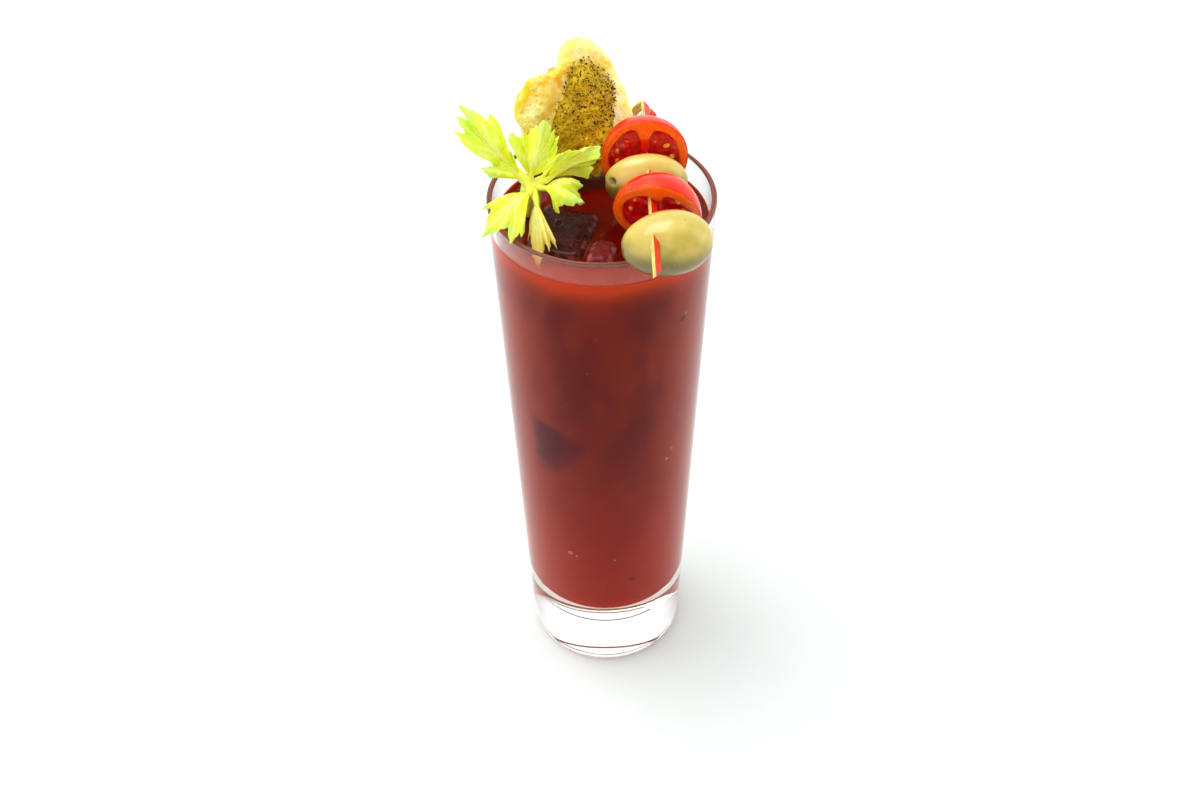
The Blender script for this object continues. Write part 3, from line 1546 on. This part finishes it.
def tube(path: Array, radii: Array, columns: int, grooves: float = 0.0) -> Surface:
    """A closed tube of rings on a path: point + radius (1 + grooves cos 7a) (side cos a + up sin a).

    Args:
        path: Points along the middle.
        radii: Radius at each point.
        columns: Points round each ring.
        grooves: Depth of seven shallow grooves as a share of the radius.

    Returns:
        The surface with values for a leaf's finish.
    """
    steps = np.linspace(0.0, len(path) - 1.0, 8 * len(path))
    line = np.stack([np.interp(steps, np.arange(len(path)), path[:, k]) for k in range(3)], axis=-1)
    kernel = np.array([1.0, 2.0, 3.0, 2.0, 1.0]) / 9.0
    padded = np.pad(line, ((2, 2), (0, 0)), mode="edge")
    line = np.stack([np.convolve(padded[:, k], kernel, mode="valid") for k in range(3)], axis=-1)
    radius = np.interp(steps, np.arange(len(path)), radii)
    tangent = unit(np.gradient(line, axis=0))
    side = unit(np.cross(tangent, [0.31, 0.22, 0.92]))
    up = np.cross(side, tangent)
    turn = np.linspace(0.0, 2.0 * np.pi, columns, endpoint=False)
    wide = radius[:, None] * (1.0 + grooves * np.cos(7.0 * turn))
    rings = line[:, None] + wide[..., None] * (
        np.cos(turn)[None, :, None] * side[:, None] + np.sin(turn)[None, :, None] * up[:, None]
    )
    first, last = (np.broadcast_to(line[k], rings[:1].shape) for k in (0, -1))
    values = {"old": np.zeros((1, 1)), "reach": np.zeros((1, 1)), "vein": np.full((1, 1), 0.35)}
    return Surface.grid(np.concatenate([first, rings, last]), values)


@dataclass
class CelerySprig:
    """A short grooved stalk with eight leaves."""

    node: Point = (-17.4, -3.0, 169.5)
    foot: Point = (-19.5, 9.0, 150.0)
    stalk_radius: float = 2.7
    leaves: tuple[Leaf, ...] = (
        Leaf("far_left", (-20.8, -0.6, 172.6), (-35.4, 5.0, 187.8), (-29.6, 4.0, 187.0), 27.0, -1.5, 0.9,
             ((0.14, 1.02), (-0.22, 0.92), (-0.55, 0.82), (-0.85, 0.7), (0.38, 0.8), (0.64, 0.72),
              (-1.0, 0.6))),
        Leaf("left_low", (-19.8, -2.0, 170.8), (-27.6, 1.0, 176.0), (-25.0, 3.5, 178.0), 34.0, -0.8, 0.7,
             ((-0.67, 1.1), (-0.1, 1.0), (0.4, 0.95), (-1.0, 0.85), (0.9, 0.8))),
        Leaf("upright", (-17.5, -2.5, 171.5), (-13.8, 0.8, 187.6), (-9.0, 0.5, 185.0), 39.0, -1.6, 1.1,
             ((-0.83, 0.83), (-0.5, 0.74), (-0.19, 0.78), (0.04, 1.0), (0.16, 0.93), (0.36, 0.84),
              (0.6, 0.74), (0.88, 0.6), (-1.0, 0.7))),
        Leaf("right", (-13.5, -3.2, 171.2), (0.2, 2.0, 177.0), (0.2, 3.6, 171.5), 35.0, 1.4, 0.8,
             ((-0.68, 0.85), (-0.38, 0.74), (-0.01, 1.02), (0.18, 0.95), (0.4, 0.9), (0.6, 0.82),
              (0.8, 0.88), (1.0, 0.74), (-1.0, 0.55))),
        Leaf("curled", (-14.6, -4.7, 170.1), (-4.2, -7.2, 168.3), (-5.0, -2.0, 169.5), 46.0, 1.8, 1.1,
             ((0.7, 0.88), (0.43, 0.94), (0.05, 0.98), (-0.25, 1.1), (-0.55, 0.78), (-0.85, 0.7),
              (1.0, 0.74))),
        Leaf("over_rim", (-17.6, -6.8, 170.2), (-28.8, -20.8, 168.1), (-20.5, -23.0, 167.6), 34.0, 1.6, 0.9,
             ((-0.95, 0.68), (-0.58, 0.72), (-0.2, 0.85), (0.06, 1.05), (0.32, 0.95), (0.67, 0.93),
              (0.92, 0.82))),
        Leaf("hanging", (-16.0, -8.0, 168.8), (-14.9, -21.6, 158.4), (-9.0, -19.6, 161.0), 21.0, 1.2, 0.6,
             ((-0.75, 0.6), (-0.4, 0.74), (-0.06, 1.02), (0.2, 0.78), (0.52, 0.82), (0.86, 0.78),
              (1.0, 0.62)), 1.0),
        Leaf("small", (-14.5, -1.0, 170.5), (-9.6, 4.0, 175.2), (-6.6, 2.0, 172.6), 34.0, 0.6, 0.5,
             ((-0.4, 0.95), (0.1, 1.0), (0.57, 0.88))),
    )
    rib_radii: tuple[float, ...] = (1.5, 1.15, 0.8, 0.5, 0.38, 0.28, 0.12)

    def build(self) -> None:
        """Stalk, leaves and their ribs as one piece."""
        node, foot = np.array(self.node), np.array(self.foot)
        stalk = np.array([foot, foot * 0.4 + node * 0.6, node])
        radius = self.stalk_radius
        parts = [tube(stalk, np.array([radius, radius, radius * 0.9]), 42, 0.06)]
        for leaf in self.leaves:
            parts.append(leaf.build())
            parts.append(tube(leaf.rib_path(node), np.array(self.rib_radii), 14))
        surface = Surface.joined(parts)
        surface.piece("celery_sprig", Slot.CELERY, ("celery",), CeleryLeaf().material())


# Pick and what it holds


@dataclass
class Pick:
    """Flat bamboo strip turned about its length, with a slanted tip and a curled end."""

    tip: Point = (12.0, -52.0, 178.4)
    end: Point = (11.9, 34.0, 169.1)
    width: float = 2.3
    thickness: float = 1.0
    turn: float = 49.0
    slant: float = 5.9
    taper: float = 12.0
    rounding: float = 0.13
    curl_radius: float = 3.9
    curl_pitch: float = 3.05
    curl_sweep: float = 540.0
    straight_rows: int = 120
    curl_rows: int = 170

    def axes(self) -> tuple[Array, Array, Array]:
        """Directions along the straight strip, across it and out of its painted face.

        Returns:
            Along, across and out.
        """
        along = unit(np.array(self.end) - np.array(self.tip))
        side = unit(np.cross(along, [0.0, 0.0, 1.0]))
        across = np.array(Matrix.Rotation(math.radians(self.turn), 3, Vector(along))) @ side
        return along, across, np.cross(across, along)

    def centre_line(self) -> tuple[Array, Array]:
        """Points along the strip's middle and the direction out of its painted face at each.

        The curl is a ring about the strip's width: at an angle a the face looks to out cos a + along sin a,
        and the middle is one radius that way from a centre that moves across by the pitch in each full turn.

        Returns:
            Points and directions, n by 3 each.
        """
        along, across, out = self.axes()
        tip, end = np.array(self.tip), np.array(self.end)
        straight = tip + np.linspace(0.0, 1.0, self.straight_rows)[:, None] * (end - tip)
        angle = np.radians(np.linspace(0.0, self.curl_sweep, self.curl_rows)[1:, None])
        facing = out * np.cos(angle) + along * np.sin(angle)
        centre = end - out * self.curl_radius + across * self.curl_pitch * angle / (2.0 * np.pi)
        line = np.concatenate([straight, centre + self.curl_radius * facing])
        return line, np.concatenate([np.tile(out, (len(straight), 1)), facing])

    def build(self) -> None:
        """A rounded rectangle carried along the middle; its rows slant near the tip."""
        line, facing = self.centre_line()
        along, across, _ = self.axes()
        flat = np.linspace(-1.0, 1.0, 9)
        low, high = np.full(9, -1.0), np.full(9, 1.0)
        sides = ((flat, high), (high, -flat), (-flat, low), (low, flat))
        half = np.array([self.width / 2, self.thickness / 2])
        box = np.concatenate([np.stack(side, axis=-1) for side in sides]) * half
        inner = np.clip(box, self.rounding - half, half - self.rounding)
        section = inner + self.rounding * unit(box - inner)
        points = line[:, None] + section[None, :, :1] * across + section[None, :, 1:] * facing[:, None]
        run = np.linalg.norm(line - line[0], axis=-1)
        near_tip = np.clip(1.0 - run / self.taper, 0.0, 1.0)[:, None]
        back = self.slant * (0.5 + section[:, 0] / self.width) * near_tip
        points = points + back[..., None] * along
        points += 0.03 * Noise(12).layered(points, 2.0, 2)[..., None]
        caps = points[:1].mean(axis=1, keepdims=True), points[-1:].mean(axis=1, keepdims=True)
        points = np.concatenate([caps[0] + 0.0 * points[:1], points, caps[1] + 0.0 * points[:1]])
        surface = Surface.grid(points, finish=np.repeat([1, 0, 0, 0], 9))
        bare = Bamboo("bare_bamboo", shown(240, 214, 126), shown(196, 152, 76), 0.5)
        paint = Bamboo("red_paint", shown(226, 56, 30), shown(190, 34, 22), 0.35)
        surface.piece("pick_strip", Slot.PICK, ("pick",), bare.material(), paint.material())


@dataclass
class Olive:
    """Oval olive with its pit hole at the left end; half sizes in millimetres, roll in degrees about Y."""

    node: str
    centre: Point
    half: Point
    roll: float
    seed: int
    dimple: Point | None = None
    dimple_width: float = 0.95
    dimple_depth: float = 1.2
    hole: float = 1.3
    hole_depth: float = 2.2
    rows: int = 90
    turns: int = 120

    def build(self) -> None:
        """A profile turned about the long axis, from the pit hole over its lip and round to the far end.

        At -cos(a) along, the height is sin(a) (1 - 0.05 cos(a)), so that the oval is fuller to the right. A
        dimple, whose place is given on the unit ball, is sunk by depth exp(-(distance / width)^4).
        """
        ratio = self.hole / self.half[2]
        start = math.asin(ratio * 1.25)
        angle = np.linspace(start, np.pi, self.rows)
        skin = np.stack([-np.cos(angle), np.sin(angle) * (1.0 - 0.05 * np.cos(angle))], axis=-1)
        depth = 1.0 - self.hole_depth / self.half[0]
        lip_x = -math.cos(start)
        hole = np.array([
            [-depth, 0.0], [-depth, 0.5 * ratio], [-depth - 0.01, 0.9 * ratio],
            [-0.5 * (depth + 0.985), 0.98 * ratio], [-0.965, ratio], [lip_x + 0.004, 1.12 * ratio],
        ])
        profile = np.concatenate([hole, skin])
        turned = revolve(profile[:, ::-1], self.turns)
        local = np.stack([turned[..., 2], turned[..., 0], turned[..., 1]], axis=-1)
        local = local * np.array(self.half)
        noise = Noise(self.seed)
        dent = 0.1 * noise.at(local, 6.0) + 0.03 * noise.at(local, 2.2)
        dimple = np.zeros(local.shape[:2])
        if self.dimple is not None:
            away = np.linalg.norm(local - np.array(self.dimple) * np.array(self.half), axis=-1)
            dimple = np.exp(-((away / self.dimple_width) ** 4))
        local = local + unit(local) * (dent - self.dimple_depth * dimple)[..., None]
        points = local @ rotation("Y", self.roll).T + np.array(self.centre)
        hollow = np.zeros(points.shape[:2])
        hollow[: len(hole)] = 1.0
        lower = ease((self.centre[2] - points[..., 2]) / self.half[2], -0.65, 0.4)
        surface = Surface.grid(points, {"hole": np.maximum(hollow, 0.8 * dimple), "under": lower})
        surface.piece(self.node + "_skin", Slot.OLIVE, (self.node,), GreenOlive().material())


@dataclass
class TomatoHalf:
    """Half a cherry tomato, its cut face to -Y, tilted about X and then turned about Z by degrees."""

    node: str
    centre: Point
    half: Point
    tilt: float
    turn: float
    seeds: tuple[tuple[float, float, float, float], ...]
    seed: int
    roof: float = 0.03
    wall: float = 0.84
    septum: float = 0.055
    blend: float = 0.05
    depth: float = 1.9
    gel_depth: float = 0.75
    gel_thickness: float = 1.3
    pools: tuple[Place, ...] = ((-0.43, -0.02), (0.43, -0.02))
    dome_rows: int = 50
    face_rows: int = 90
    turns: int = 200

    def frame(self) -> Array:
        """Matrix of the half's tilt and turn."""
        return rotation("Z", self.turn) @ rotation("X", self.tilt)

    def place(self, local: Array) -> Array:
        """Local points tilted, turned and moved to the half's centre."""
        return local @ self.frame().T + np.array(self.centre)

    def hollow(self, x: Array, z: Array) -> Array:
        """How deep inside a seed chamber a point of the cut is, from its distances to wall and septum.

        The septum widens to its top, where the wall is thicker by the roof. The two distances are blended as
        -b ln(exp(-first / b) + exp(-second / b)), which rounds the corners.

        Args:
            x: Place across as a share of the half size.
            z: Place up as a share of the half size.

        Returns:
            Depths, less than 0 outside the chambers.
        """
        wavy = self.wall * (1.0 + 0.025 * np.sin(5.0 * np.arctan2(z, x) + self.seed))
        wall = wavy - self.roof * ease(z, 0.1, 0.8) - np.hypot(x, z)
        core = np.abs(x) - self.septum - 0.12 * ease(z, 0.35, 0.85) - 0.06 * ease(-z, 0.3, 0.9)
        return -self.blend * np.log(np.exp(-wall / self.blend) + np.exp(-core / self.blend))

    def build(self) -> None:
        """Dome rows from its pole to the rim, then face rows to the middle, sunk where the chambers are."""
        turn = np.linspace(0.0, 2.0 * np.pi, self.turns, endpoint=False)
        polar = np.linspace(0.0, np.pi / 2, self.dome_rows)[:, None]
        lobes = 1.0 + 0.012 * np.cos(4.0 * turn + self.seed)
        dome_r, dome_y = np.sin(polar) * lobes, np.cos(polar) + 0.0 * turn
        ring = (1.0 - np.linspace(0.0, 1.0, self.face_rows)[1:])[:, None]
        face_r = ring * lobes * 0.992
        x, z = face_r * np.cos(turn), face_r * np.sin(turn)
        inside = self.hollow(x, z)
        sunk = self.depth * ease(inside, -0.01, 0.16)
        soft = 0.3 * ease(ring, 0.93, 1.0) + 0.15 * ease(0.3 - np.hypot(x, z), 0.0, 0.3)
        grain = 0.06 * Noise(self.seed).layered(np.stack([x * 11.0, 0.0 * x, z * 11.0], -1), 1.4, 2)
        face_y = (sunk + soft + grain) / self.half[1]
        radius = np.concatenate([dome_r, face_r])
        y = np.concatenate([dome_y, face_y])
        local = np.stack([radius * np.cos(turn), y, radius * np.sin(turn)], axis=-1) * np.array(self.half)
        cut = np.concatenate([0.0 * dome_y, ease(0.995 - face_r, 0.0, 0.012)])
        chamber = np.concatenate([0.0 * dome_y, ease(inside, 0.0, 0.07)])
        heart = np.concatenate([0.0 * dome_y, ease(0.62 - np.hypot(x, z * 0.9), 0.0, 0.3)])
        surface = Surface.grid(self.place(local), {"cut": cut, "chamber": chamber, "heart": heart})
        surface.piece(self.node + "_flesh", Slot.TOMATO, (self.node,), CherryTomato().material())

    def gel(self) -> None:
        """Two pools of gel, each a bumpy lens that fills a chamber below the cut.

        A pool is a disc of rings about the chamber's middle, pushed out to the chamber's wall.
        """
        noise = Noise(self.seed + 40)
        turn = np.linspace(0.0, 2.0 * np.pi, 90, endpoint=False)
        reach = np.linspace(0.0, 1.0, 400)[:, None]
        ring = np.linspace(0.0, 1.0, 30)[:, None]
        lenses = []
        for middle in self.pools:
            depth = self.hollow(middle[0] + reach * np.cos(turn), middle[1] + reach * np.sin(turn))
            edge = reach[np.argmax(depth < 0.012, axis=0), 0]
            x, z = middle[0] + ring * edge * np.cos(turn), middle[1] + ring * edge * np.sin(turn)
            bumps = 0.28 * noise.layered(np.stack([x, 0.0 * x, z], -1) * 11.0, 2.6, 2)
            top = self.gel_depth - 0.3 * (1.0 - ring**6) + bumps * (1.0 - ring**4)
            under = self.gel_depth + self.gel_thickness * np.sqrt(1.0 - ring**2)
            front = np.stack([x * self.half[0], top, z * self.half[2]], -1)
            back = np.stack([x * self.half[0], np.maximum(under, top + 0.01), z * self.half[2]], -1)
            lenses.append(Surface.grid(self.place(np.concatenate([front, back[::-1]]))))
        surface = Surface.joined(lenses)
        surface.piece(self.node + "_gel", Slot.TOMATO, (), TomatoGel().material())

    def pips(self) -> None:
        """Flat seeds in the gel, each (x, z, half size, tone), with x and z as shares of the half sizes."""
        draw = np.random.default_rng(self.seed)
        x, z, size, tone = np.array(self.seeds).T
        depth = np.full(len(x), self.gel_depth - 0.28)
        local = np.stack([x * self.half[0], depth, z * self.half[2]], -1)
        halves = size[:, None] * np.array([[1.0, 0.72, 0.5]])
        spin = draw.uniform(0.0, np.pi, len(x))
        facing = unit(np.array([[0.0, -1.0, 0.0]]) + 0.25 * draw.normal(size=(len(x), 3)))
        frames = np.einsum("ij,njk->nik", self.frame(), frames_along(facing, spin))
        surface = balls(self.place(local), halves, frames, tone, 11)
        surface.piece(self.node + "_seeds", Slot.TOMATO, (), TomatoSeed().material())


# Studio


@dataclass
class Studio:
    """Plain pale floor, soft light all round and the camera of the photograph."""

    camera_place: Point = (0.0, -0.285754, 0.366590)
    pitch: float = 43.733
    yaw: float = -0.23
    roll: float = -0.80
    lens: float = 41.34
    lamps: tuple[tuple[str, Point, Place, float], ...] = (
        ("key", (-0.3, 0.1, 0.95), (0.6, 0.6), 4.0),
        ("side", (0.8, -0.1, 0.5), (0.5, 0.7), 1.8),
        ("fill", (-0.4, -0.75, 0.4), (0.8, 0.8), 1.9),
    )

    def camera(self) -> None:
        """Camera whose axes are right, up and back, worked out from yaw, pitch and roll."""
        yaw, pitch, roll = (math.radians(a) for a in (self.yaw, self.pitch, self.roll))
        ahead = Vector((math.sin(yaw) * math.cos(pitch), math.cos(yaw) * math.cos(pitch), -math.sin(pitch)))
        right = Vector((math.cos(yaw), -math.sin(yaw), 0.0))
        up = right.cross(ahead)
        level_right = right * math.cos(roll) + up * math.sin(roll)
        level_up = up * math.cos(roll) - right * math.sin(roll)
        data = bpy.data.cameras.new("camera")
        data.lens = self.lens
        data.sensor_width = 36.0
        data.clip_start = 0.01
        camera = bpy.data.objects.new("camera", data)
        bpy.context.scene.collection.objects.link(camera)
        turn = Matrix((level_right, level_up, -ahead)).transposed().to_4x4()
        camera.matrix_world = Matrix.Translation(self.camera_place) @ turn
        bpy.context.scene.camera = camera

    def floor(self) -> None:
        """A wide flat floor under the foot."""
        side = np.linspace(-4000.0, 4000.0, 3)
        x, y = np.meshgrid(side, side, indexing="ij")
        mesh = Surface.grid(np.stack([x, y, np.full_like(x, -0.2)], axis=-1), wrap=False).mesh("floor")
        mesh.materials.append(Backdrop().material())
        floor = bpy.data.objects.new("floor", mesh)
        bpy.context.scene.collection.objects.link(floor)

    def lamp(self, name: str, place: Point, size: Place, power: float) -> None:
        """A rectangular soft lamp that faces the drink.

        Args:
            name: Name of the lamp.
            place: Where it hangs.
            size: Its sides.
            power: Its power in watts.
        """
        data = bpy.data.lights.new(name, "AREA")
        data.shape = "RECTANGLE"
        data.size, data.size_y = size
        data.energy = power
        lamp = bpy.data.objects.new(name, data)
        bpy.context.scene.collection.objects.link(lamp)
        lamp.location = place
        lamp.rotation_euler = (Vector((0.0, 0.0, 0.12)) - Vector(place)).to_track_quat("-Z", "Y").to_euler()

    def surroundings(self) -> None:
        """A pale room, bright behind the drink and dimmer on the viewer's side."""
        world = bpy.data.worlds.new("room")
        world.use_nodes = True
        nodes, links = world.node_tree.nodes, world.node_tree.links
        place = nodes.new("ShaderNodeTexCoord")
        split = nodes.new("ShaderNodeSeparateXYZ")
        ramp = nodes.new("ShaderNodeMapRange")
        links.new(place.outputs["Generated"], split.inputs["Vector"])
        links.new(split.outputs["Y"], ramp.inputs["Value"])
        for name, value in (("From Min", -0.4), ("From Max", 0.3), ("To Min", 0.44), ("To Max", 1.0)):
            ramp.inputs[name].default_value = value
        links.new(ramp.outputs["Result"], nodes["Background"].inputs["Strength"])
        nodes["Background"].inputs["Color"].default_value = (0.97, 1.0, 1.0, 1.0)
        bpy.context.scene.world = world

    def build(self) -> None:
        """Camera, floor, lamps, surroundings and the picture's contrast."""
        self.camera()
        self.floor()
        for lamp in self.lamps:
            self.lamp(*lamp)
        self.surroundings()
        view = bpy.context.scene.view_settings
        view.view_transform = "Standard"
        view.look = "Medium High Contrast"
        view.exposure = 0.0


def tomato_halves() -> tuple[TomatoHalf, TomatoHalf]:
    """The front half, which leans forward, and the back half, each with its seeds.

    Returns:
        The front and the back half.
    """
    front_seeds = (
        (-0.5, 0.42, 0.8, 0.7), (0.46, 0.5, 1.0, 0.3), (0.6, 0.2, 0.8, 0.5), (-0.6, 0.1, 0.8, 0.4),
        (-0.3, -0.3, 0.9, 0.5), (0.35, -0.2, 0.9, 0.3), (0.5, -0.45, 0.8, 0.6), (-0.5, -0.5, 0.8, 0.2),
    )
    back_seeds = (
        (-0.62, 0.18, 0.8, 0.5), (-0.4, 0.42, 0.7, 0.9), (-0.62, -0.08, 0.75, 0.4), (0.5, 0.3, 1.0, 0.1),
        (0.62, 0.0, 0.95, 0.2), (0.22, 0.42, 0.65, 0.7), (-0.3, -0.4, 0.9, 0.4), (0.32, -0.42, 0.9, 0.3),
    )
    front = TomatoHalf(
        "tomato_half_front", (13.3, -15.6, 169.5), (10.8, 9.6, 11.3), 19.0, -10.0, front_seeds, 71, 0.14
    )
    back = TomatoHalf("tomato_half_back", (10.8, 5.3, 171.8), (11.0, 10.1, 10.8), 0.0, 0.0, back_seeds, 73)
    return front, back


def main() -> None:
    """Build the studio and then every piece of the drink."""
    logging.basicConfig(level=logging.INFO, format="%(message)s")
    Studio().build()
    glass = Tumbler()
    glass.build()
    BaseRings(glass).build()
    drink = Juice(glass)
    drink.build()
    drink.film()
    drink.bits()
    dark = StainedIce("dark_ice", shown(68, 6, 6), shown(132, 48, 44), shown(190, 108, 98), 0.7)
    pink = StainedIce("pink_ice", shown(120, 22, 18), shown(150, 56, 50), shown(210, 140, 130), 0.3)
    IceCube("ice_cube_big", (-10.2, -5.6), (15.0, 19.5, 19.0), -15.0, (2.0, 3.0), dark).build()
    IceCube("ice_cube_small", (-0.3, -14.2), (7.0, 9.5, 10.0), -15.0, (6.0, 4.0), pink).build()
    face = ToastFace()
    ToastSlice(face).build()
    spread = HerbSpread(face)
    spread.build()
    spread.flakes()
    CelerySprig().build()
    Pick().build()
    Olive("olive_front", (15.0, -29.8, 171.7), (10.8, 7.5, 7.75), -8.0, 61).build()
    Olive("olive_back", (11.1, -0.1, 168.4), (10.4, 5.1, 7.6), 0.0, 62, (-0.83, -0.5, 0.25)).build()
    for half in tomato_halves():
        half.build()
        half.gel()
        half.pips()


if __name__ == "__main__":
    main()
